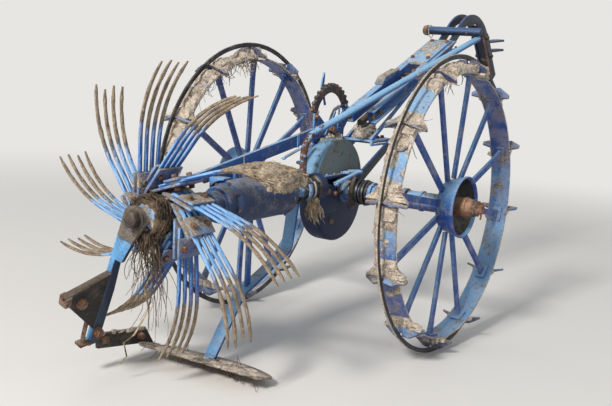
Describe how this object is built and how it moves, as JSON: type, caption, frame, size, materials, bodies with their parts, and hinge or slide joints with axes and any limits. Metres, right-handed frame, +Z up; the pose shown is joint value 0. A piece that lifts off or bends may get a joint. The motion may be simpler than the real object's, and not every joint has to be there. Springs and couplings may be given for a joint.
{
  "type": "towed spinner potato digger",
  "caption": "Two-wheeled towed machine with a long drawbar, lugged iron wheels, a ground-driven tined rotor and a lifting share behind.",
  "frame": {"origin": "on the ground, under the middle of the whole machine's bounding box", "axes": "+X forward towards the hitch jaws, +Y to the machine's left, +Z up"},
  "size_m": [2.871, 1.222, 1.3389],
  "materials": {
    "blue_paint": "faded blue paint, chipped to rust and dusted with soil",
    "dark_steel": "dark weathered steel",
    "rusty_steel": "rusted steel",
    "muddy_steel": "rusted steel caked with dry soil",
    "worn_steel": "soil-worn steel with rust"
  },
  "bodies": {
    "frame": {"axle": "rusty_steel", "axle_tube_right": "blue_paint", "axle_tube_left": "blue_paint", "gear_case": "blue_paint", "gear_cover": "blue_paint", "shaft_neck": "blue_paint", "shaft_drum": "blue_paint", "rear_arm": "blue_paint", "share_gusset": "blue_paint", "share_bar": "rusty_steel", "share": "worn_steel", "share_stay": "dark_steel", "stay_hanger": "dark_steel", "main_beam": "blue_paint", "drawbar_ledge": "blue_paint", "drawbar_strut_right": "blue_paint", "drawbar_strut_left": "blue_paint", "drawbar_beam_right": "blue_paint", "drawbar_beam_left": "blue_paint", "drawbar_block": "rusty_steel", "drawbar_rod": "rusty_steel", "drawbar_stay_right": "blue_paint", "drawbar_stay_left": "blue_paint", "drawbar_plate": "blue_paint", "beam_cap": "blue_paint", "hitch_bow": "dark_steel", "hitch_jaws": "dark_steel", "cross_pin": "dark_steel", "lever": "blue_paint", "lever_boss": "blue_paint", "pivot_bracket": "blue_paint", "quadrant": "dark_steel", "latch": "dark_steel"},
    "wheel_right": {"wheel_right_rim": "blue_paint", "wheel_right_ring": "muddy_steel", "wheel_right_lugs": "muddy_steel", "wheel_right_hub_shell": "blue_paint", "wheel_right_spokes": "blue_paint", "wheel_right_hub_boss": "rusty_steel"},
    "wheel_left": {"wheel_left_rim": "blue_paint", "wheel_left_ring": "muddy_steel", "wheel_left_lugs": "muddy_steel", "wheel_left_hub_shell": "blue_paint", "wheel_left_spokes": "blue_paint", "wheel_left_hub_boss": "rusty_steel"},
    "rotor": {"shaft_cap": "rusty_steel", "rotor_shaft": "rusty_steel", "rotor_hub": "blue_paint", "tine_clamps": "rusty_steel", "tine_arm_1": "muddy_steel", "tine_arm_2": "muddy_steel", "tine_arm_3": "muddy_steel", "tine_arm_4": "muddy_steel", "tine_arm_5": "muddy_steel", "tine_arm_6": "muddy_steel", "tine_arm_7": "muddy_steel", "tine_arm_8": "muddy_steel", "tine_arm_9": "muddy_steel", "tine_arm_10": "muddy_steel"}
  },
  "joints": [
    {"name": "wheel_right_spin", "type": "hinge", "parent": "frame", "child": "wheel_right", "pos_m": [-0.09944, -0.476, 0.56007], "axis": [0, 1, 0], "continuous": true},
    {"name": "wheel_left_spin", "type": "hinge", "parent": "frame", "child": "wheel_left", "pos_m": [-0.09944, 0.476, 0.56007], "axis": [0, 1, 0], "continuous": true},
    {"name": "rotor_spin", "type": "hinge", "parent": "frame", "child": "rotor", "pos_m": [-1.13781, 0, 0.55713], "axis": [0.9996, 0, 0.0298], "continuous": true}
  ]
}
